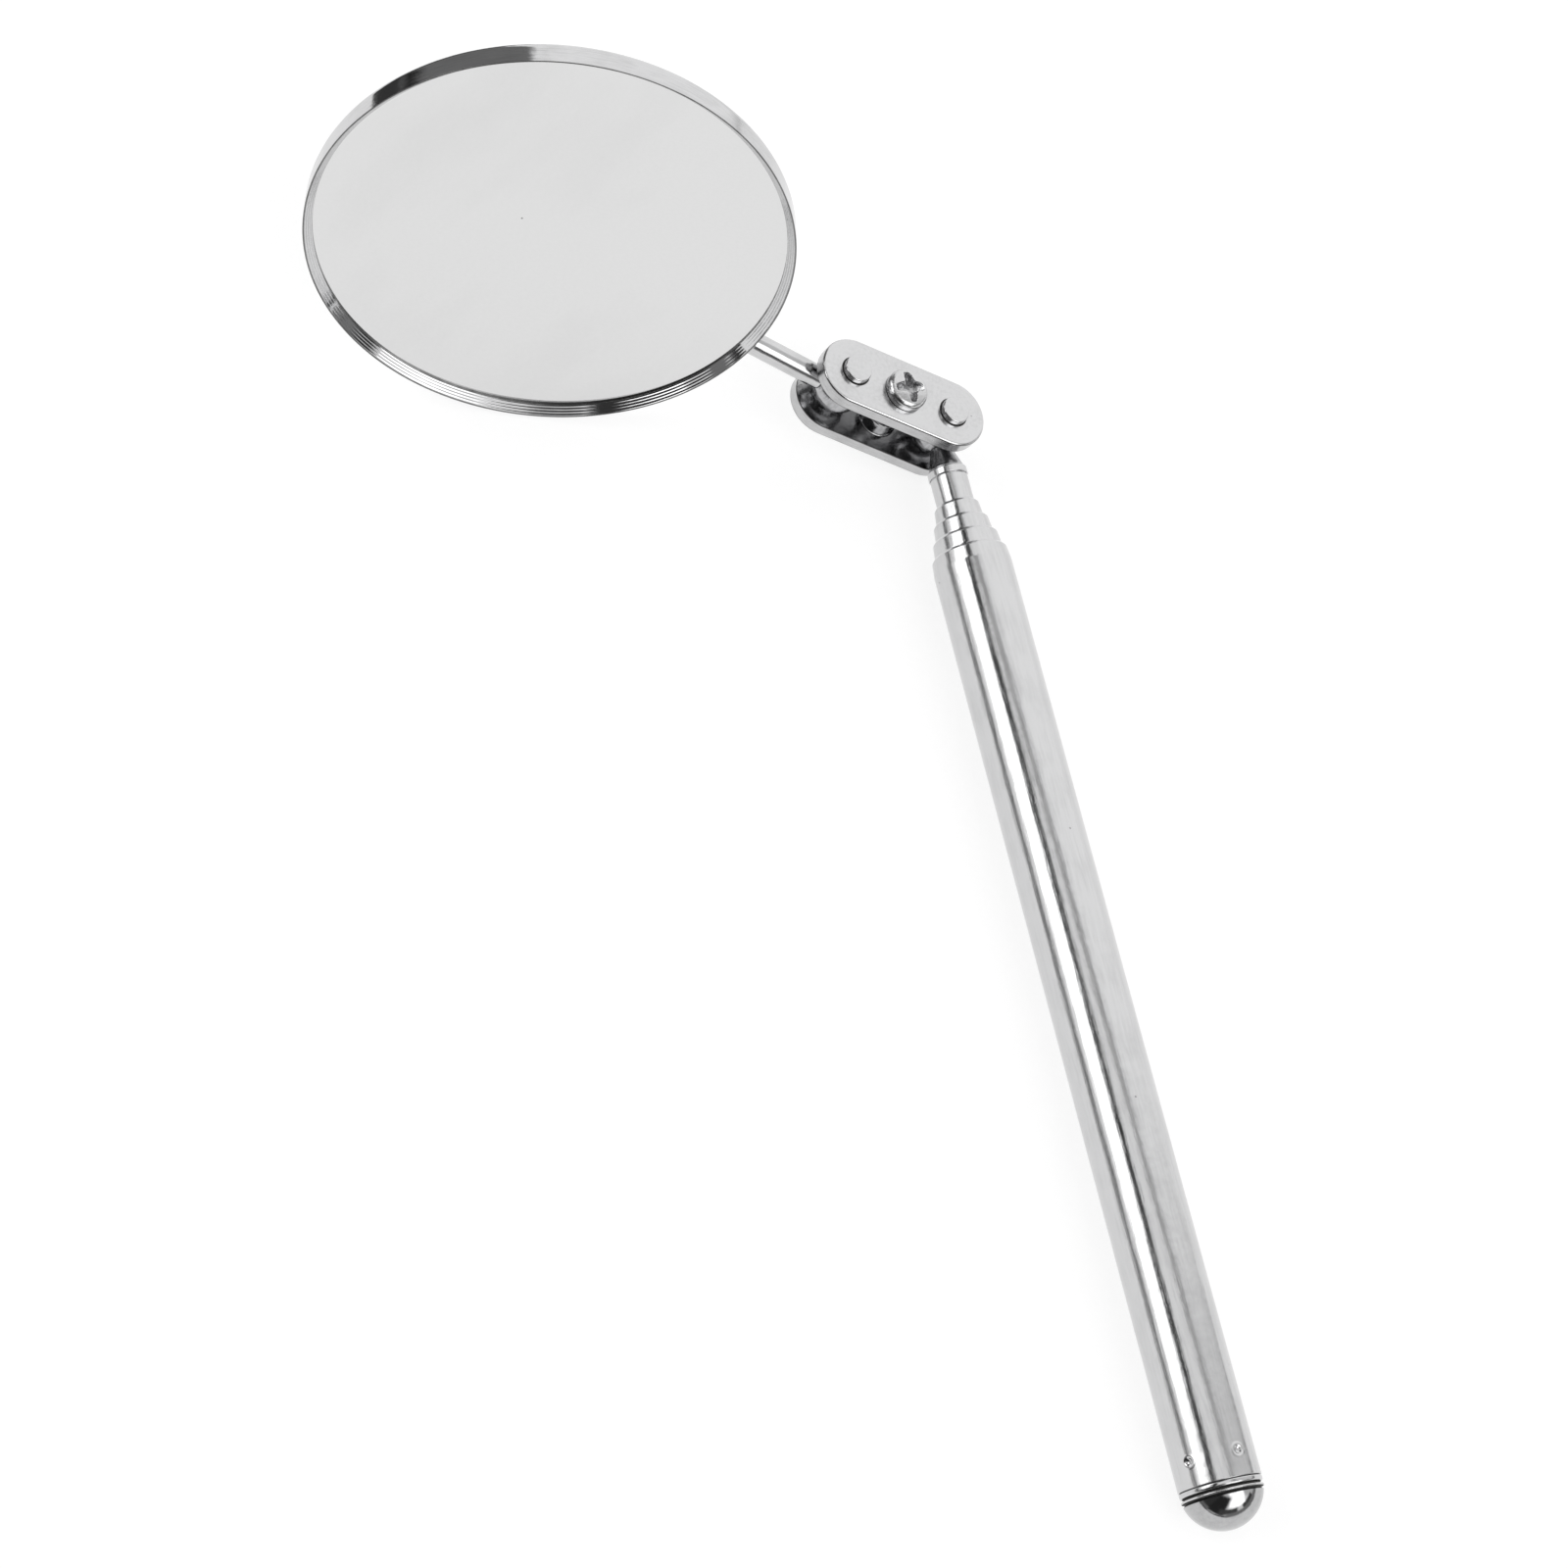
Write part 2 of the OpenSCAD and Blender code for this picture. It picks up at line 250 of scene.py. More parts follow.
class Finish:
    """A procedural material whose pattern is laid out in the frame a piece is drawn in."""

    def __init__(self, name, place, colour, roughness, metallic=1.0):
        self.material = bpy.data.materials.new(name)
        self.material.use_nodes = True
        self.tree = self.material.node_tree
        self.place = place
        self.colour = colour
        self.normal = None
        self.inputs = self.tree.nodes["Principled BSDF"].inputs
        self.inputs["Base Color"].default_value = (*colour, 1)
        self.inputs["Metallic"].default_value = metallic
        self.inputs["Roughness"].default_value = roughness

    def link(self, value, name):
        self.tree.links.new(value, self.inputs[name])

    def points(self, scale):
        """Points in the piece's frame. scale is how many features there are per metre along each axis."""
        source = self.tree.nodes.new("ShaderNodeTexCoord")
        mapping = self.tree.nodes.new("ShaderNodeMapping")
        mapping.vector_type = "TEXTURE"
        mapping.inputs["Location"].default_value = self.place.translation
        mapping.inputs["Rotation"].default_value = self.place.to_euler()
        mapping.inputs["Scale"].default_value = [1 / k for k in scale]
        self.tree.links.new(source.outputs["Object"], mapping.inputs["Vector"])
        return mapping.outputs["Vector"]

    def noise(self, scale, detail=3.0, roughness=0.55):
        node = self.tree.nodes.new("ShaderNodeTexNoise")
        node.inputs["Scale"].default_value = 1.0
        node.inputs["Detail"].default_value = detail
        node.inputs["Roughness"].default_value = roughness
        self.tree.links.new(self.points(scale), node.inputs["Vector"])
        return node.outputs["Fac"]

    def remap(self, value, low, high, to_low, to_high, smooth=False):
        return remap(self.tree, value, low, high, to_low, to_high, smooth)

    def combine(self, operation, a, b):
        return combine(self.tree, operation, a, b)

    def blend(self, a, share_a, b, share_b):
        """The sum of two patterns, each times its share."""
        scaled = [
            value if share == 1.0 else self.combine("MULTIPLY", value, share)
            for value, share in ((a, share_a), (b, share_b))
        ]
        return self.combine("ADD", *scaled)

    def bump(self, height, distance):
        """Adds a layer of relief, distance metres high for a height of 1."""
        node = self.tree.nodes.new("ShaderNodeBump")
        node.inputs["Strength"].default_value = 1.0
        node.inputs["Distance"].default_value = distance
        self.tree.links.new(height, node.inputs["Height"])
        if self.normal is not None:
            self.tree.links.new(self.normal, node.inputs["Normal"])
        self.normal = node.outputs["Normal"]
        self.link(self.normal, "Normal")

    def pits(self, per_metre, size, share):
        """Sparse round specks: 1 in their middle, 0 elsewhere. share of the cells has one."""
        cells = self.tree.nodes.new("ShaderNodeTexVoronoi")
        cells.inputs["Scale"].default_value = 1.0
        self.tree.links.new(self.points((per_metre,) * 3), cells.inputs["Vector"])
        dot = self.remap(cells.outputs["Distance"], size, size * 0.4, 0.0, 1.0, smooth=True)
        split = self.tree.nodes.new("ShaderNodeSeparateColor")
        self.tree.links.new(cells.outputs["Color"], split.inputs["Color"])
        chosen = self.combine("LESS_THAN", split.outputs["Red"], share)
        return self.combine("MULTIPLY", dot, chosen)

    def tint(self, other, amount):
        """Base colour that goes towards the other colour where amount is high."""
        mix = self.tree.nodes.new("ShaderNodeMix")
        mix.data_type = "RGBA"
        mix.inputs["A"].default_value = (*self.colour, 1)
        mix.inputs["B"].default_value = (*other, 1)
        self.tree.links.new(amount, mix.inputs["Factor"])
        self.link(mix.outputs["Result"], "Base Color")


def remap(tree, value, low, high, to_low, to_high, smooth=False):
    node = tree.nodes.new("ShaderNodeMapRange")
    node.interpolation_type = "SMOOTHSTEP" if smooth else "LINEAR"
    for key, number in zip(("From Min", "From Max", "To Min", "To Max"), (low, high, to_low, to_high)):
        node.inputs[key].default_value = number
    tree.links.new(value, node.inputs["Value"])
    return node.outputs["Result"]


def combine(tree, operation, a, b):
    node = tree.nodes.new("ShaderNodeMath")
    node.operation = operation
    for socket, value in zip(node.inputs, (a, b)):
        if isinstance(value, (int, float)):
            socket.default_value = value
        else:
            tree.links.new(value, socket)
    return node.outputs["Value"]


def plated(name, place, colour, rough, streak, relief, pit_share=0.05, grime=0.12):
    """Bright plating over drawn, turned or pressed metal.

    rough is the range of roughness, streak how many marks there are per metre along each axis, and
    relief the heights in micrometres of the marks, the slow unevenness and the fine grain.
    """
    finish = Finish(name, place, colour, rough[0])
    marks = finish.noise(streak, detail=4.0, roughness=0.65)
    smudges = finish.noise((260, 260, 260), detail=4.0)
    waves = finish.noise((420, 420, 420), detail=2.0)
    grain = finish.noise((7000, 7000, 7000), detail=2.0)
    specks = finish.pits(900, 0.13, pit_share)
    roughness = finish.remap(finish.blend(marks, 0.55, smudges, 0.45), 0.36, 0.64, *rough)
    finish.link(finish.blend(roughness, 1.0, specks, 0.3), "Roughness")
    dull = finish.remap(finish.blend(marks, 0.5, smudges, 0.5), 0.46, 0.7, 0.0, 2.2 * grime)
    finish.tint(tuple(0.35 * c for c in colour), finish.blend(dull, 1.0, specks, 0.6))
    finish.bump(waves, relief[1] * 1e-6)
    finish.bump(marks, relief[0] * 1e-6)
    finish.bump(grain, relief[2] * 1e-6)
    finish.bump(finish.combine("MULTIPLY", specks, -1.0), 6e-6)
    return finish.material


CHROME = (0.6, 0.6, 0.605)
# Darker than CHROME: painted shade on the tail's dome, which dims the floor it reflects.
DOME = (0.47, 0.47, 0.475)
STEEL = (0.47, 0.47, 0.48)
BRASS = (0.78, 0.6, 0.3)
BRONZE = (0.66, 0.43, 0.24)
# Name, frame, colour, roughness, marks per metre, relief in micrometres, share of pits, grime
FINISHES = {
    "tube": plated(
        "drawn_chrome_tube", HANDLE, CHROME, (0.08, 0.19), (260, 3600, 3600), (12, 22, 1.5), 0.04, 0.07),
    "cap": plated(
        "turned_chrome_cap", HANDLE, CHROME, (0.06, 0.14), (5000, 1200, 1200), (5, 20, 0.5), 0.03),
    # Painted shade: the dome's chrome is darker so that the floor it reflects comes out dim.
    "dome": plated(
        "chrome_dome_painted_shade", HANDLE, DOME, (0.07, 0.15), (2600, 2600, 2600), (4, 20, 0.5), 0.05),
    "ball": plated(
        "turned_steel_ball", HANDLE, STEEL, (0.12, 0.28), (5200, 900, 900), (12, 20, 1), 0.06, 0.3),
    "plate": plated(
        "pressed_chrome_plate", LINK, CHROME, (0.1, 0.22), (2600, 2600, 2600), (12, 36, 1.5), 0.06, 0.08),
    "edge": plated(
        "sheared_plate_edge", LINK, (0.53, 0.53, 0.535), (0.16, 0.32), (900, 900, 7000), (14, 30, 3),
        0.08, 0.2),
    # Painted shade: darker chrome for the faces between the plates.
    "inner": plated(
        "inner_face_painted_shade", LINK, (0.4, 0.4, 0.405), (0.07, 0.17), (2600, 2600, 2600), (12, 26, 1),
        0.08, 0.25),
    # Painted shade: darker steel inside the screw's cross recess.
    "recess": plated(
        "screw_recess_painted_shade", LINK, (0.45, 0.45, 0.455), (0.14, 0.3), (5200, 5200, 5200), (20, 40, 3), 0.1, 0.3),
    "screw": plated(
        "plated_screw", LINK, CHROME, (0.1, 0.25), (5200, 5200, 5200), (16, 40, 1), 0.1, 0.2),
    "rod": plated(
        "polished_chrome_rod", ROD, CHROME, (0.06, 0.14), (700, 6500, 6500), (6, 20, 0.5), 0.03),
    "rod_ball": plated(
        "turned_steel_rod_ball", ROD, STEEL, (0.12, 0.28), (5200, 900, 900), (12, 20, 1), 0.06, 0.3),
    "case": plated(
        "pressed_chrome_case", BACK, CHROME, (0.04, 0.1), (500, 500, 6500), (3, 16, 0.4), 0.02),
    # Painted shade: dark grey for the rim's crest and inner lip.
    "crest": plated(
        "rim_crest_painted_shade", BACK, (0.2, 0.2, 0.2), (0.2, 0.4), (900, 900, 900), (8, 16, 2), 0.1, 0.3),
    "brass": plated(
        "drawn_brass", HANDLE, BRASS, (0.2, 0.36), (900, 6500, 6500), (15, 20, 2), 0.04, 0.3),
    "bronze": plated(
        "rolled_bronze", HANDLE, BRONZE, (0.25, 0.4), (900, 5200, 5200), (15, 20, 2), 0.05, 0.35),
}


def silvered_glass():
    """Silvered glass, clean but for a few specks of dust and the faintest haze."""
    finish = Finish("silvered_glass", BACK, (0.7, 0.7, 0.7), 0.01)
    finish.link(finish.remap(finish.noise((140, 140, 140)), 0.4, 0.7, 0.0, 0.03), "Roughness")
    dust = finish.pits(260, 0.04, 0.06)
    smear = finish.remap(finish.noise((90, 40, 90), detail=5.0), 0.5, 0.8, 0.0, 0.06)
    finish.tint((0.12, 0.12, 0.12), finish.combine("ADD", dust, smear))
    finish.bump(finish.noise((60, 60, 60), detail=1.0), 2e-6)
    return finish.material


def glass_edge():
    """The ground edge of the glass disc and the grey paint on its rear."""
    finish = Finish("ground_glass_edge", BACK, (0.42, 0.5, 0.47), 0.5, metallic=0.0)
    grit = finish.noise((9000, 9000, 9000), detail=4.0)
    finish.tint((0.24, 0.3, 0.28), finish.remap(grit, 0.35, 0.65, 0.0, 1.0))
    finish.bump(grit, 1.5e-5)
    return finish.material


def painted_shade_lines():
    """Near-black with a lumpy tone: painted shade, laid in seams, grooves and gaps between parts and along the
    plates' edges.
    """
    finish = Finish("painted_shade_lines", HANDLE, (0.03, 0.029, 0.028), 0.6, metallic=0.0)
    lumps = finish.noise((4200, 4200, 4200), detail=4.0)
    finish.tint((0.09, 0.088, 0.085), finish.remap(lumps, 0.45, 0.75, 0.0, 1.0))
    finish.link(finish.remap(lumps, 0.3, 0.7, 0.45, 0.8), "Roughness")
    finish.bump(lumps, 3e-5)
    return finish.material


def pressed_board():
    """Pressed grey-brown board behind the glass."""
    finish = Finish("pressed_board", BACK, (0.4, 0.35, 0.29), 0.85, metallic=0.0)
    fibres = finish.noise((1500, 4500, 4500), detail=5.0)
    finish.tint((0.22, 0.19, 0.15), finish.remap(fibres, 0.35, 0.65, 0.0, 1.0))
    finish.bump(fibres, 4e-5)
    return finish.material


def white_sweep():
    """Matt white acrylic that gives off an even light of its own."""
    finish = Finish("white_sweep", Matrix.Identity(4), (0.28, 0.28, 0.28), 0.9, metallic=0.0)
    finish.inputs["Specular IOR Level"].default_value = 0.1
    finish.inputs["Emission Color"].default_value = (1, 1, 1, 1)
    finish.inputs["Emission Strength"].default_value = 0.79
    tooth = finish.noise((1800, 1800, 1800), detail=4.0)
    finish.tint((0.265, 0.265, 0.265), finish.remap(tooth, 0.35, 0.65, 0.0, 1.0))
    finish.bump(tooth, 1e-5)
    return finish.material


# Painted shade: the near-black material laid in seams, grooves, gaps and edge lines.
PAINTED_SHADE = painted_shade_lines()


def finish_where(piece, place, material, chosen):
    """Gives another material to the faces whose centre, in millimetres in place, is chosen."""
    piece.data.materials.append(material)
    inverse = place.inverted()
    for face in piece.data.polygons:
        if chosen(inverse @ face.center):
            face.material_index = len(piece.data.materials) - 1


# ---------------------------------------------------------------- telescopic handle

TUBES = ["outer_tube", "tube_2", "tube_3", "tube_4", "neck_tube"]
TUBE_BODIES = ["handle", "section_2", "section_3", "section_4", "neck"]
TUBE = {name: Extent(name, HANDLE) for name in TUBES}
CAP = Extent("end_cap", HANDLE)
OUTER_R = MOUNTS["handle_grip"]["dims"]["r_mm"]
WALL = 0.35
NOSE_DROP = 0.38
NOSE_TAPER = 1.75
SLIDE_GAP = 0.03
COLLAR_LEN = 3.1
TUBE_STEP = OUTER_R - TUBE["tube_2"].radius_x
DIMPLE_X = TUBE["outer_tube"].high[0] - 2.5
DIMPLE_R = 0.42
DIMPLE_DEPTH = 0.24
DIMPLE_PHASE = -0.7
DIMPLE_COUNT = 5


def dimple(p):
    """Presses round punch marks into the tube near its tail, each with a slight lip."""
    if abs(p.x - DIMPLE_X) > 3 * DIMPLE_R or p.yz.length < OUTER_R - 0.5 * WALL:
        return p
    angle = math.degrees(math.atan2(-p.y, p.z)) - DIMPLE_PHASE
    every = 360 / DIMPLE_COUNT
    off = (angle + every / 2) % every - every / 2
    away = math.hypot(p.x - DIMPLE_X, math.radians(off) * OUTER_R) / DIMPLE_R
    bowl = -DIMPLE_DEPTH * math.exp(-(away ** 4) * 1.6)
    lip = 0.02 * math.exp(-((away - 1.5) / 0.3) ** 2)
    scale = 1 + (bowl + lip) / OUTER_R
    return Vector((p.x, p.y * scale, p.z * scale))


def telescope_tube(index):
    """A drawn tube with a swaged nose that the next one runs in."""
    name = TUBES[index]
    size = TUBE[name]
    front, rear = size.low[0], size.high[0]
    outside = OUTER_R - index * TUBE_STEP - 0.004
    bore = outside - WALL
    collar = outside - TUBE_STEP + SLIDE_GAP
    corners = [
        (collar + 0.1, front, 0.03),
        (outside - NOSE_DROP, front, 0.06),
        (outside - 0.15, front + 0.28, 0.2),
        (outside, front + NOSE_TAPER, 1.2),
    ]
    if index == 0:
        fine = [DIMPLE_X + DIMPLE_R * k * 0.12 for k in range(-21, 22)]
        corners.extend((outside, x, 0) for x in [40, 70, 100, *fine])
    corners += [
        (outside, rear, 0.06),
        (bore, rear, 0.05),
        (bore, front + COLLAR_LEN, 0),
        (collar, front + COLLAR_LEN - 0.3, 0),
        (collar, front + 0.25, 0),
    ]
    segments = 512 if index == 0 else 192
    shell = turn_x(soften(corners), segments, dimple if index == 0 else None)
    body = TUBE_BODIES[index]
    piece = shell.piece(name + "_shell", HANDLE, body, FINISHES["tube"], "tube_chrome", [name])
    # Painted shade: the collar at the mouth, in the gap where the next tube runs in, is near-black.
    finish_where(piece, HANDLE, PAINTED_SHADE, lambda c: c.x < front + 0.3 and c.yz.length < collar + 0.11)
    return piece


def neck_tube():
    """The smallest tube, with a rolled ring and a fine groove at its mouth."""
    size = TUBE["neck_tube"]
    front, rear = size.low[0], size.high[0]
    outside = OUTER_R - 4 * TUBE_STEP
    ring = outside + 0.1
    ring_end = front + 0.85
    groove_floor = outside - 0.12
    groove_end = ring_end + 0.15
    corners = [
        (outside - WALL, front, 0.05),
        (ring, front, 0.16),
        (ring, ring_end, 0.08),
        (groove_floor, ring_end, 0.03),
        (groove_floor, groove_end, 0.03),
        (outside, groove_end, 0.05),
        (outside, rear, 0.05),
        (outside - WALL, rear, 0.05),
    ]
    shell = turn_x(soften(corners), 192)
    return shell.piece("neck_tube_shell", HANDLE, "neck", FINISHES["tube"], "tube_chrome", ["neck_tube"])


def end_cap():
    """Tail plug: a band against the tube, a thin ring and a dome, parted by grooves."""
    start = TUBE["outer_tube"].high[0]
    tip = CAP.high[0]
    bore = OUTER_R - WALL
    band, groove, ring, tube_seam = 0.65, 0.2, 0.3, 0.08
    seam_floor = OUTER_R - 0.3
    groove_floor = OUTER_R - 0.55
    dome_start = start + band + groove + ring
    base = OUTER_R - 0.1
    rise = tip - dome_start
    radius = (base ** 2 + rise ** 2) / (2 * rise)
    middle = tip - radius
    low = math.degrees(math.asin((dome_start - middle) / radius))
    corners = [
        (0, CAP.low[0], 0),
        (bore - 0.2, CAP.low[0], 0.05),
        (bore, CAP.low[0] + 0.5, 0.05),
        (bore, start, 0),
        (seam_floor, start, 0),
        (seam_floor, start + tube_seam, 0),
        (OUTER_R - 0.02, start + tube_seam, 0.2),
        (OUTER_R - 0.02, start + band - 0.02, 0.22),
        (groove_floor, start + band - 0.02, 0.03),
        (groove_floor, start + band + groove + 0.03, 0.03),
        (OUTER_R - 0.03, start + band + groove + 0.03, 0.13),
        (OUTER_R - 0.03, dome_start - 0.06, 0.12),
        (base - 0.32, dome_start - 0.03, 0.03),
        (base - 0.32, dome_start + 0.06, 0.03),
    ]
    dome = arc((0, middle), radius, low, 90, 40)
    outline = soften(corners + dome[2:-1] + [(0, tip, 0)], closed=False)
    shell = turn_x(outline, 256)
    piece = shell.piece("tail_cap", HANDLE, "handle", FINISHES["cap"], "cap_chrome", ["end_cap"])
    # Painted shade: the seam against the tube, the groove and the step before the dome are near-black.
    finish_where(piece, HANDLE, PAINTED_SHADE, lambda c: c.x > start - 0.01 and (
        c.yz.length < OUTER_R - 0.2 and c.x < start + tube_seam + 0.01
        or c.yz.length < OUTER_R - 0.25 and abs(c.x - start - band - groove / 2) < groove / 2 + 0.05
        or c.yz.length < base and abs(c.x - dome_start) < 0.08))
    # Painted shade: the dome takes the darker chrome, dimming the floor it reflects.
    finish_where(piece, HANDLE, FINISHES["dome"], lambda c: c.x > dome_start + 0.08)
    return piece


def ball_outline(radius, flat, hole, depth):
    """Outline of a ball with a flat at +X and a blind hole for the pin."""
    edge = math.degrees(math.acos(flat / radius))
    ball = arc((0, 0), radius, -90, 90 - edge, 48)
    corners = [(0, -radius, 0)] + [(r, x, 0) for r, x, _ in ball[1:]]
    return soften(corners + [(hole, flat, 0), (hole, depth, 0), (0, depth, 0)], closed=False)


BALL_R = Extent("upper_ball", ROD).radius_z
BALL_FLAT = Extent("upper_ball", ROD).high[0]
PIN_R = 0.9


def ball(name, node, place, body, material):
    shell = turn_x(ball_outline(BALL_R, BALL_FLAT, PIN_R + 0.03, -0.1), 128)
    return shell.piece(name, place, body, material, "ball_steel", [node])


def ball_stud():
    """Cone from the lower ball to the neck tube, with turning marks left on it."""
    front = TUBE["neck_tube"].low[0]
    bore = OUTER_R - 4 * TUBE_STEP - WALL
    corners = [
        (0, 0, 0),
        (PIN_R, 0, 0.05),
        (PIN_R, BALL_FLAT + 0.05, 0),
        (1.15, BALL_FLAT + 0.05, 0.05),
        (1.24, BALL_FLAT + 0.35, 0.2),
        (bore + WALL - 0.1, front - 0.12, 0.15),
        (bore + WALL - 0.1, front, 0.05),
        (bore, front, 0),
        (bore, 10.9, 0.1),
        (bore - 0.3, 11, 0),
        (0, 11, 0),
    ]
    shell = turn_x(soften(corners, closed=False), 128)
    return shell.piece("ball_stud_turned", HANDLE, "neck", FINISHES["ball"], "ball_steel", ["ball_stud"])


# ---------------------------------------------------------------- clamp plates and screw

PLATE = Extent("top_plate", LINK)
BALL_GAP = (UPPER_BALL - LOWER_BALL).length / MM
PLATE_HALF = PLATE.high[1]
SEAT_H = 0.75
SEAT_R = 1.65
INNER_Z = PLATE.low[2]
OUTER_Z = PLATE.high[2] - SEAT_H
SCREW_R = 1.25


def stadium(inset, height, arc_steps=48):
    """Ring of points round the plate, inset from its edge."""
    radius = PLATE_HALF - 0.03 - inset
    ring = []
    for middle, start in ((BALL_GAP, -90), (0, 90)):
        for k in range(arc_steps + 1):
            t = math.radians(start + 180 * k / arc_steps)
            ring.append((middle + radius * math.cos(t), radius * math.sin(t), height))
        side = -1 if start > 0 else 1
        for k in range(1, 12):
            x = middle + (BALL_GAP if start > 0 else -BALL_GAP) * k / 12
            ring.append((x, side * radius, height))
    return ring


def circle(centre, radius, height, segments=96):
    return [(centre + radius * math.cos(a), radius * math.sin(a), height) for a in turns(segments)]


def clamp_plate(name, node, sign, hole_r, collar):
    """Stamped plate: rolled outer edge, two seats pressed outwards and the screw's hole."""
    shell = Shell()
    thick = OUTER_Z - INNER_Z
    seat_top = thick + SEAT_H - 0.01
    edge = soften([
        (2.0, 0, 0), (0.02, 0, 0.07), (0, 0.1, 0), (0, thick, 0.27), (2.0, thick, 0),
    ], closed=False, steps=8)
    rings = [shell.ring(stadium(inset, z)) for inset, z in edge[1:-1]]
    shell.chain(rings)
    outer_loops, inner_loops = [], []
    for x in (0, BALL_GAP):
        seat = soften([
            (2.4, thick, 0), (SEAT_R + 0.03, thick, 0.02), (SEAT_R + 0.02, thick - 0.1, 0.02),
            (SEAT_R - 0.1, thick - 0.1, 0.02), (SEAT_R - 0.12, seat_top, 0.14), (0, seat_top, 0),
        ], closed=False)
        loops = [shell.ring(circle(x, r, z)) for r, z in seat[1:-1]]
        outer_loops.append(loops[0])
        shell.chain(loops)
        shell.fan(loops[-1], (x, 0, seat_top))
        pocket = soften([
            (2.2, 0, 0), (SEAT_R, 0, 0.04), (SEAT_R - 0.02, SEAT_H, 0.1), (0, SEAT_H, 0),
        ], closed=False)
        loops = [shell.ring(circle(x, r, z)) for r, z in pocket[1:-1]]
        inner_loops.append(loops[0])
        shell.chain(loops)
        shell.fan(loops[-1], (x, 0, SEAT_H))
    middle = BALL_GAP / 2
    if collar:
        hole = soften([
            (3.2, 0, 0), (collar[0] + 0.25, 0, 0.2), (collar[0], -collar[1], 0.15),
            (hole_r, -collar[1], 0.1), (hole_r, thick, 0.08), (3.2, thick, 0),
        ], closed=False)
    else:
        hole = soften([
            (3.2, 0, 0), (hole_r, 0, 0.08), (hole_r, thick, 0.08), (3.2, thick, 0),
        ], closed=False)
    loops = [shell.ring(circle(middle, r, z)) for r, z in hole[1:-1]]
    inner_loops.append(loops[0])
    outer_loops.append(loops[-1])
    shell.chain(loops)
    shell.cap(rings[-1], outer_loops)
    shell.cap(rings[0], inner_loops, flip=True)
    shell.points = [Vector((p.x, sign * p.y, sign * (p.z + INNER_Z))) for p in shell.points]
    piece = shell.piece(name, LINK, "linkage", FINISHES["plate"], "plate_chrome", [node])
    recalculate(piece)
    # Painted shade: the faces between the two plates and inside the seats take a darker chrome.
    finish_where(piece, LINK, FINISHES["inner"], lambda c: from_edge(c) > 0.08 and (
        abs(c.z) < INNER_Z + 0.02 or abs(c.z) < INNER_Z + SEAT_H + 0.01 and any(
            math.hypot(c.x - x, c.y) < SEAT_R + 0.01 for x in (0, BALL_GAP))))
    finish_where(piece, LINK, FINISHES["edge"], lambda c: from_edge(c) < 0.03)
    # Painted shade: near-black on the inner edge, in a band on the rounded outer edge just below the outer face,
    # and in the groove round each seat.
    finish_where(piece, LINK, PAINTED_SHADE, lambda c: (
        from_edge(c) < 0.13 and (abs(c.z) < INNER_Z + 0.09 or OUTER_Z - 0.24 < abs(c.z) < OUTER_Z - 0.1)
        or INNER_Z + 1 < abs(c.z) < OUTER_Z - 0.015 and any(
            SEAT_R - 0.13 < math.hypot(c.x - x, c.y) < SEAT_R + 0.06 for x in (0, BALL_GAP))))
    return piece


def from_edge(point):
    """How far inside the plates' outline a point lies."""
    over = point.x - max(0.0, min(BALL_GAP, point.x))
    return PLATE_HALF - 0.03 - math.hypot(over, point.y)


def recalculate(piece):
    """Turns every face of a piece outwards."""
    work = bmesh.new()
    work.from_mesh(piece.data)
    bmesh.ops.recalc_face_normals(work, faces=work.faces)
    work.to_mesh(piece.data)
    work.free()


def cross_recess(x, y, angle=24.0, wing=1.75, flute=0.5, depth=1.05):
    """Depth of the cross recess at a point of the screw's head."""
    t = math.radians(angle)
    u, v = x * math.cos(t) + y * math.sin(t), -x * math.sin(t) + y * math.cos(t)
    long_way, short_way = max(abs(u), abs(v)), min(abs(u), abs(v))
    slope = max(0.0, min(1.0, (wing - long_way) / 0.75))
    width = flute * (0.72 + 0.4 * slope)
    side = max(0.0, min(1.0, (width - short_way) / 0.13))
    core = max(0.0, min(1.0, (0.95 - math.hypot(u, v)) / 0.35))
    along = slope ** 0.8
    return depth * max(along * side, 0.85 * core * along)


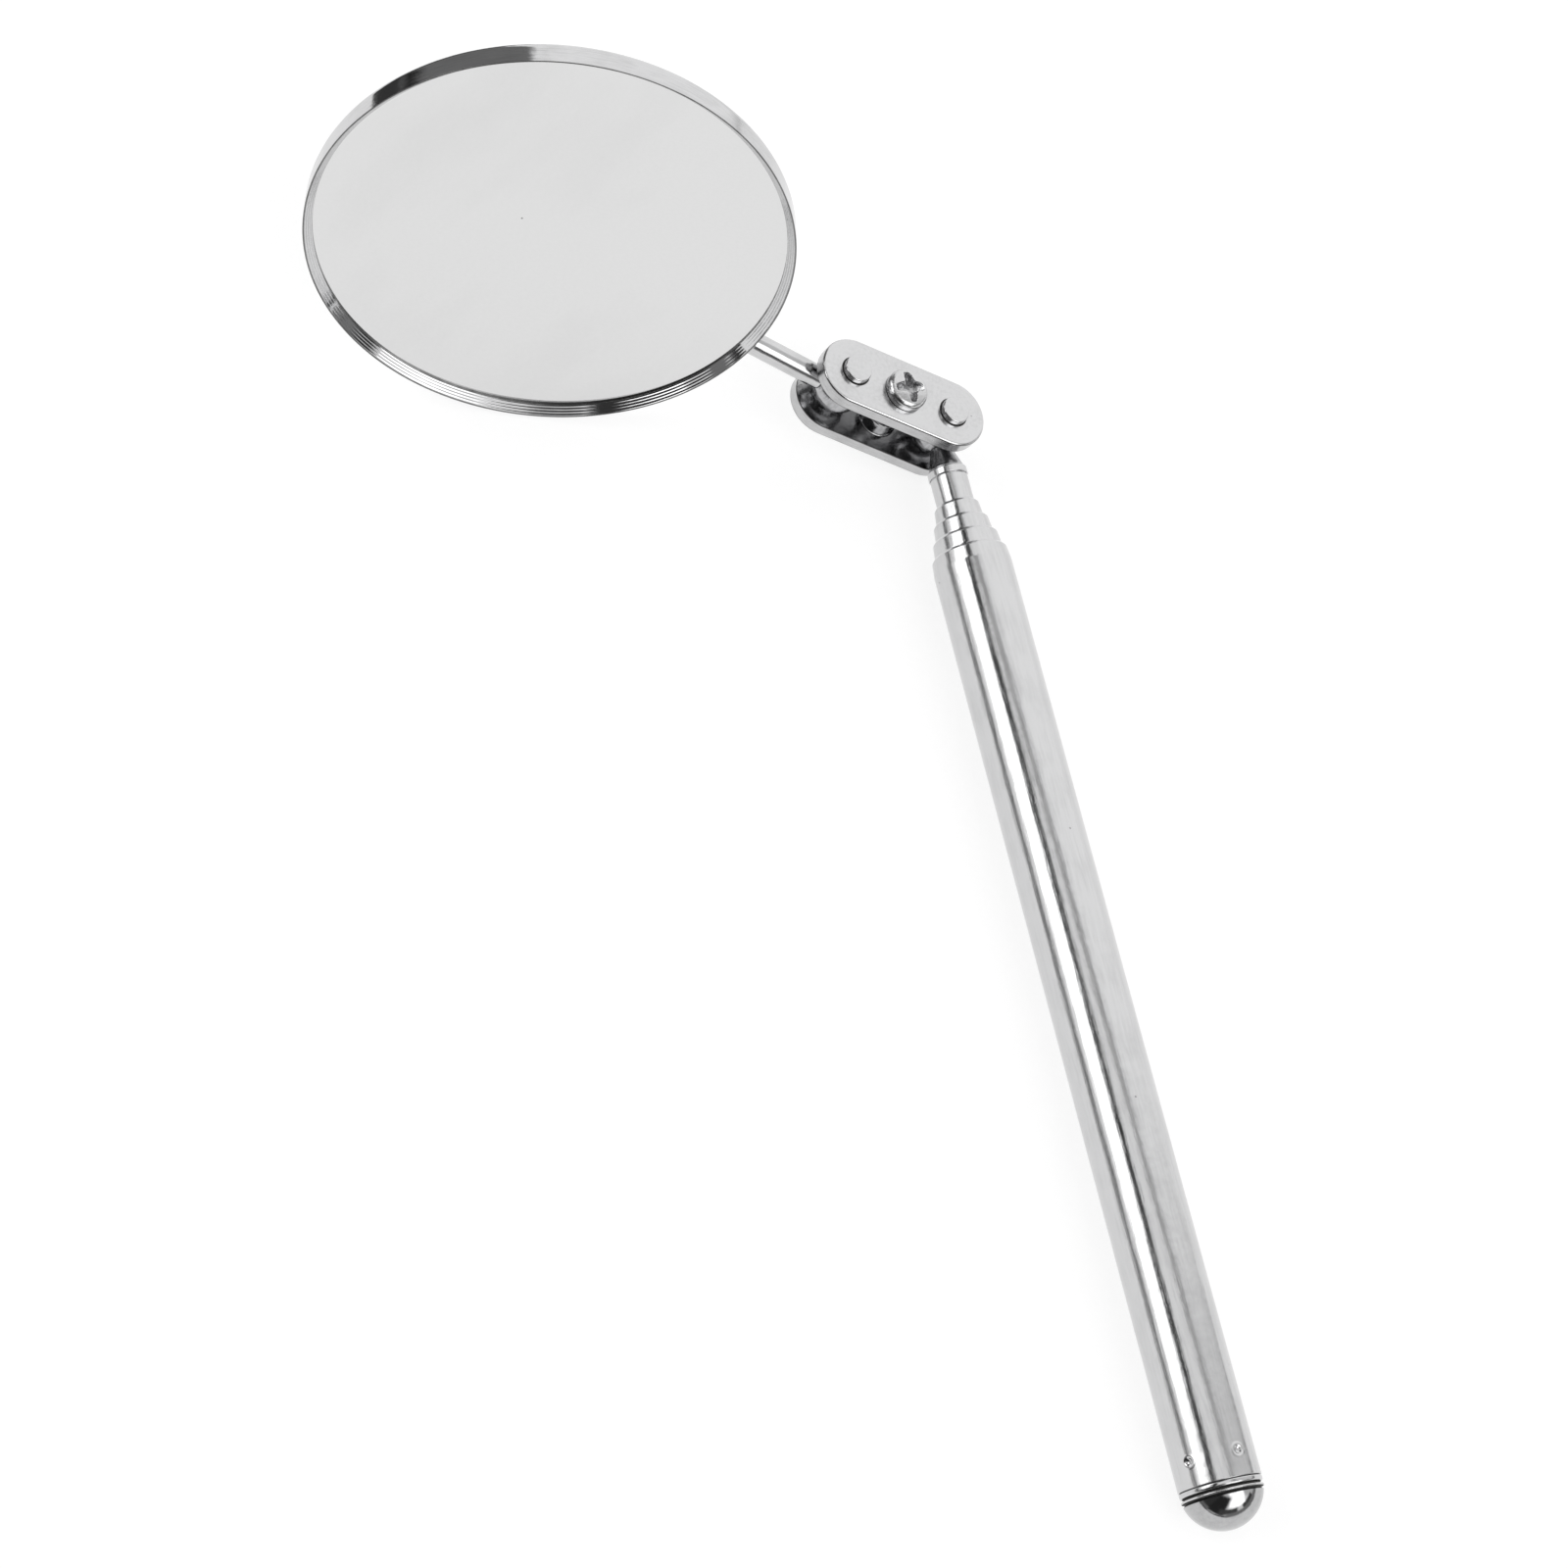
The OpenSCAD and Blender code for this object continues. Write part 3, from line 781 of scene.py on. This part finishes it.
def clamp_screw():
    """Pan-head screw with a worn cross recess and a real helical thread."""
    place = LINK @ Matrix.Translation((BALL_GAP / 2, 0, 0))
    head_r, edge_h, head_h, crown = 2.34, 0.5, 1.2, 0.25
    top = OUTER_Z + head_h + crown

    def crown_height(c):
        """Height of the smooth crown over a point of the recess."""
        reach = min(1.0, math.hypot(c.x, c.y) / crown_r)
        return crown_z + (top - crown_z) * (1 - reach ** 2) if reach < 1 else -99.0

    shell = Shell()
    segments = 192
    pitch, depth = 0.45, 0.24
    thread_top, thread_end = 1.95, Extent("clamp_screw", LINK).low[2]
    rings = []
    rows = int((thread_top - thread_end) / pitch * 12)
    for k in range(rows + 1):
        z = thread_end + (thread_top - thread_end) * k / rows
        ring = []
        for a in turns(segments):
            phase = (z / pitch - a / TAU) % 1
            tooth = min(1.0, abs(phase - 0.5) * 2 * 1.25)
            fade = min(1.0, (z - thread_end) / 0.4, max(0.0, (thread_top - z) / 0.3))
            r = SCREW_R - depth * tooth * fade - 0.3 * max(0.0, 1 - (z - thread_end) / 0.3)
            ring.append((r * math.cos(a), r * math.sin(a), z))
        rings.append(shell.ring(ring))
    corner = head_h - edge_h
    side = soften([
        (SCREW_R, OUTER_Z, 0), (head_r, OUTER_Z, 0.08), (head_r, OUTER_Z + edge_h, 0.2),
    ], closed=False)
    for r, z in side[:-1]:
        rings.append(shell.ring([(r * math.cos(a), r * math.sin(a), z) for a in turns(segments)]))
    outline = [(r, z) for r, z, _ in arc((head_r - corner, OUTER_Z + edge_h), corner, 0, 68, 14)]
    crown_r, crown_z = outline[-1]
    steps = 56
    for k in range(1, steps):
        reach = 1 - k / steps
        outline.append((crown_r * reach, crown_z + (top - crown_z) * (1 - reach ** 2)))
    for r, z in outline:
        ring = []
        for a in turns(segments):
            x, y = r * math.cos(a), r * math.sin(a)
            drop = cross_recess(x, y)
            rough = noise.noise(Vector((x * 2.2, y * 2.2, 7.3)))
            burr = 0.035 * rough * (1 if r < 2.2 else 0) + 0.05 * max(0, rough) * (drop > 0)
            ring.append((x, y, z - drop + burr * (0.3 if drop == 0 else 1)))
        rings.append(shell.ring(ring))
    shell.chain(rings)
    shell.fan(rings[0], (0, 0, thread_end), flip=True)
    shell.fan(rings[-1], (0, 0, top - cross_recess(0, 0)))
    piece = shell.piece("clamp_screw_detailed", place, "clamp_screw", FINISHES["screw"], "screw_steel",
                        ["clamp_screw"], sharp=60)
    # Painted shade: the inside of the cross recess takes the darker steel.
    finish_where(piece, place, FINISHES["recess"], lambda c: OUTER_Z + 0.3 < c.z < crown_height(c) - 0.3)
    # Painted shade: a near-black ring where the head meets the plate.
    finish_where(piece, place, PAINTED_SHADE, lambda c: OUTER_Z - 0.01 < c.z < OUTER_Z + 0.1)
    return piece


# ---------------------------------------------------------------- mirror head

CASE = Extent("mirror_case", BACK)
CASE_R = CASE.radius_z - 0.03
CASE_H = CASE.high[2]
GLASS = Extent("mirror_glass", BACK)
ROD_SIZE = Extent("mirror_rod", ROD)
ROD_R = ROD_SIZE.radius_x


def mirror_case():
    """Pressed case; the rim over the glass is turned to a bevel with fine rings."""
    rim_width, rim_depth, wall, floor = 0.92, 0.95, 0.42, 0.4
    back_round = 0.9
    inner = CASE_R - rim_width
    seat = CASE_R - wall
    glass_top = GLASS.high[2]
    crest = Vector((CASE_R - 0.13, CASE_H - 0.01))
    foot = Vector((inner, CASE_H - rim_depth))
    corners = [(0, 0, 0), (CASE_R, 0, back_round), (CASE_R, CASE_H, 0.12), (*crest, 0.05)]
    steps, ring_count, ring_height = 72, 4, 0.009
    for k in range(3, steps - 2):
        t = k / steps
        lift = ring_height * (1 - math.cos(TAU * ring_count * t))
        corners.append((*(crest.lerp(foot, t) + Vector((0.7, -0.7)) * lift), 0))
    corners += [
        (*foot, 0.04), (inner, glass_top, 0), (seat, glass_top, 0), (seat, floor, 0), (0, floor, 0),
    ]
    outline = soften(corners, closed=False, steps=10)
    piece = turn_z(outline, 512).piece(
        "mirror_case_shell", BACK, "mirror_head", FINISHES["case"], "case_chrome", ["mirror_case"])
    # Painted shade: the rim's crest and the inner lip above the glass are dark grey.
    finish_where(piece, BACK, FINISHES["crest"], lambda c: (
        c.z > CASE_H - 0.06 or c.z > glass_top and math.hypot(c.x, c.y) < inner + 0.02))
    return piece


def mirror_glass():
    """Glass disc with a ground edge: silvered face, painted rear."""
    top, bottom, radius = GLASS.high[2], GLASS.low[2], GLASS.radius_z
    corners = [(0, bottom, 0), (radius, bottom, 0.1), (radius, top, 0.14), (0, top, 0)]
    piece = turn_z(soften(corners, closed=False), 384).piece(
        "mirror_disc", BACK, "mirror_head", silvered_glass(), "mirror_glass", ["mirror_glass"])
    finish_where(piece, BACK, glass_edge(), lambda c: c.z < top - 0.02)
    return piece


def mirror_rod():
    """Polished rod with a small braze fillet where it meets the case."""
    reach = ROD_SIZE.high[0] + 0.15
    wall = ROD_SIZE.high[0] - 0.02
    corners = [
        (0, 0, 0),
        (PIN_R, 0, 0.05),
        (PIN_R, BALL_FLAT + 0.05, 0),
        (ROD_R, BALL_FLAT + 0.05, 0.12),
        (ROD_R, wall - 0.4, 0.5),
        (ROD_R + 0.06, wall, 0.05),
        (ROD_R, reach, 0),
        (0, reach, 0),
    ]
    shell = turn_x(soften(corners, closed=False), 128)
    return shell.piece(
        "mirror_rod_polished", ROD, "mirror_head", FINISHES["rod"], "rod_chrome", ["mirror_rod"])


# ---------------------------------------------------------------- floor, light and camera

CAMERA_AZIMUTH = 51.63
CAMERA_ELEVATION = 67.39
CAMERA_ROLL = 26.6
CAMERA_DISTANCE = 0.3836
CAMERA_LENS = 85.5
AIM = Vector((-0.0087, 0.0045, 0.004))
FLOOR_HALF = 0.17
BEYOND_FLOOR = 0.05


def add_floor():
    mesh = bpy.data.meshes.new("floor")
    h = FLOOR_HALF
    mesh.from_pydata([(-h, -h, 0), (h, -h, 0), (h, h, 0), (-h, h, 0)], [], [(0, 1, 2, 3)])
    mesh.materials.append(white_sweep())
    floor = bpy.data.objects.new("floor", mesh)
    bpy.context.scene.collection.objects.link(floor)


def direction(azimuth, elevation):
    """Unit vector towards a point of the sky; azimuth from +X towards +Y."""
    a, e = math.radians(azimuth), math.radians(elevation)
    return Vector((math.cos(e) * math.cos(a), math.cos(e) * math.sin(a), math.sin(e)))


def sky_patch(tree, view, centre, along, half_length, half_width, soft):
    """1 inside a soft-edged oblong of sky, 0 outside. Lengths are sines of the angles they span."""
    centre = Vector(centre).normalized()
    across = centre.cross(Vector(along)).normalized()
    along = across.cross(centre)
    masks = []
    for axis, half in ((along, half_length), (across, half_width)):
        dot = tree.nodes.new("ShaderNodeVectorMath")
        dot.operation = "DOT_PRODUCT"
        dot.inputs[1].default_value = axis
        tree.links.new(view, dot.inputs[0])
        far = combine(tree, "ABSOLUTE", dot.outputs["Value"], 0.0)
        masks.append(remap(tree, far, half + soft, half, 0.0, 1.0, smooth=True))
    front = tree.nodes.new("ShaderNodeVectorMath")
    front.operation = "DOT_PRODUCT"
    front.inputs[1].default_value = centre
    tree.links.new(view, front.inputs[0])
    ahead = combine(tree, "GREATER_THAN", front.outputs["Value"], 0.0)
    return combine(tree, "MULTIPLY", combine(tree, "MULTIPLY", masks[0], masks[1]), ahead)


def overhead(angle, x=0.0):
    """Direction in the plane across the handle, degrees from straight up towards +Y, leaning by x."""
    t = math.radians(angle)
    return Vector((x, math.sin(t), math.cos(t)))


SKY = 1.02
NEAR_RUN = (0.865, -0.5, 0.01)
# Centre, direction it runs in, half length, half width, softness, brightness
PATCHES = [
    # Ceiling, a little brighter to the far side
    (overhead(60), (1, 0, 0), 0.95, 0.5, 0.25, 1.14),
    # Duller wall past the tail end
    (overhead(50, 0.2), (1, 0, 0), 0.27, 0.45, 0.13, 0.74),
    # Seam in the ceiling
    ((-0.23, 0.15, 0.961), (0.54, 0.84, -0.04), 0.7, 0.035, 0.05, 0.4),
    # Gap between ceiling and softbox
    ((-0.23, -0.43, 0.875), NEAR_RUN, 0.8, 0.08, 0.06, 0.05),
    # Long softbox over the near side
    ((-0.415, -0.665, 0.62), NEAR_RUN, 0.43, 0.19, 0.07, 2.8),
    # Smaller softbox at the tail end
    (direction(28, 40), (0, 1, 0), 0.3, 0.27, 0.1, 2.4),
    # Dark room behind the camera
    (direction(-39, 31), (0, 0, 1), 0.4, 0.4, 0.16, 0.03),
    # Near corner of the dark room
    (direction(-70, 25), (0, 0, 1), 0.44, 0.3, 0.06, 0.05),
    # Floor of the dark room, past the tail
    (direction(-2, 13), (0, 1, 0), 0.32, 0.1, 0.08, 0.08),
    # Camera and photographer
    ((0.24, -0.24, 0.94), (0, 1, 0), 0.13, 0.15, 0.08, 0.2),
    # Dark wall beyond the mirror
    (direction(-166, 17), (0, 0, 1), 0.4, 0.26, 0.04, 0.2),
    # Open doorway in the dark wall
    (direction(-153, 17), (0, 0, 1), 0.4, 0.05, 0.02, 0.02),
    # Dark corner on the far side
    (direction(49, 9), (1, -1, 0), 0.24, 0.17, 0.05, 0.05),
    # Floor's far edge, near side
    (direction(-95, 7), (1, 0, 0), 0.7, 0.055, 0.06, 0.22),
    # Floor's far edge, far side
    (direction(45, 4), (1, -1, 0), 0.74, 0.05, 0.1, 0.25),
]


def add_world():
    """White studio: a light tent with softboxes and a few dark gaps, seen only in reflections."""
    world = bpy.data.worlds.new("studio")
    bpy.context.scene.world = world
    world.use_nodes = True
    tree = world.node_tree
    background = tree.nodes["Background"]
    view = tree.nodes.new("ShaderNodeTexCoord").outputs["Generated"]
    split = tree.nodes.new("ShaderNodeSeparateXYZ")
    tree.links.new(view, split.inputs["Vector"])
    level = remap(tree, split.outputs["Z"], -0.02, 0.02, BEYOND_FLOOR, SKY, smooth=True)
    for centre, along, half_length, half_width, soft, brightness in PATCHES:
        mask = sky_patch(tree, view, centre, along, half_length, half_width, soft)
        mix = tree.nodes.new("ShaderNodeMix")
        mix.data_type = "FLOAT"
        tree.links.new(mask, mix.inputs["Factor"])
        tree.links.new(level, mix.inputs["A"])
        mix.inputs["B"].default_value = brightness
        level = mix.outputs["Result"]
    rays = tree.nodes.new("ShaderNodeLightPath")
    seen = tree.nodes.new("ShaderNodeMix")
    seen.data_type = "FLOAT"
    seen.inputs["B"].default_value = 1.0
    tree.links.new(rays.outputs["Is Camera Ray"], seen.inputs["Factor"])
    tree.links.new(level, seen.inputs["A"])
    tree.links.new(seen.outputs["Result"], background.inputs["Strength"])
    background.inputs["Color"].default_value = (1, 1, 1, 1)


def add_area(name, place, aim, size, watts):
    data = bpy.data.lights.new(name, "AREA")
    data.shape = "RECTANGLE"
    data.size, data.size_y = size
    data.energy = watts
    light = bpy.data.objects.new(name, data)
    light.location = place
    light.rotation_euler = (Vector(aim) - Vector(place)).to_track_quat("-Z", "Y").to_euler()
    light.visible_camera = False
    light.visible_glossy = False
    bpy.context.scene.collection.objects.link(light)


def add_camera():
    data = bpy.data.cameras.new("camera")
    data.lens = CAMERA_LENS
    data.sensor_width = 36
    data.sensor_fit = "HORIZONTAL"
    data.clip_start = 0.01
    data.clip_end = 50
    camera = bpy.data.objects.new("camera", data)
    back = direction(CAMERA_AZIMUTH - 90, CAMERA_ELEVATION)
    right = Vector((0, 0, 1)).cross(back).normalized()
    up = back.cross(right)
    upright = Matrix((right, up, back)).transposed().to_4x4()
    turn = upright @ Matrix.Rotation(math.radians(CAMERA_ROLL), 4, "Z")
    camera.matrix_world = Matrix.Translation(AIM + back * CAMERA_DISTANCE) @ turn
    bpy.context.scene.collection.objects.link(camera)
    bpy.context.scene.camera = camera


# ---------------------------------------------------------------- build

for number in range(4):
    telescope_tube(number)
neck_tube()
end_cap()
ball_stud()
ball("lower_ball_turned", "lower_ball", HANDLE, "lower_ball", FINISHES["ball"])
ball("upper_ball_turned", "upper_ball", ROD, "upper_ball", FINISHES["rod_ball"])
clamp_plate("top_plate_stamped", "top_plate", 1, SCREW_R + 0.1, None)
clamp_plate("bottom_plate_stamped", "bottom_plate", -1, SCREW_R + 0.03, (1.9, 1.5))
clamp_screw()
mirror_rod()
mirror_case()
mirror_glass()

for node_name, node in frame["nodes"].items():
    if node_name.startswith("slide_bush"):
        node.data.materials[0] = FINISHES["brass"]
    elif node_name.startswith("friction_spring"):
        node.data.materials[0] = FINISHES["bronze"]
    elif node_name == "backing_pad":
        node.data.materials[0] = pressed_board()

add_floor()
add_world()
add_area("key", (-0.3, -0.9, 1.0), (0, 0, 0), (1.2, 0.8), 2)
add_camera()
scene = bpy.context.scene
scene.view_settings.view_transform = "Standard"
scene.view_settings.look = "None"
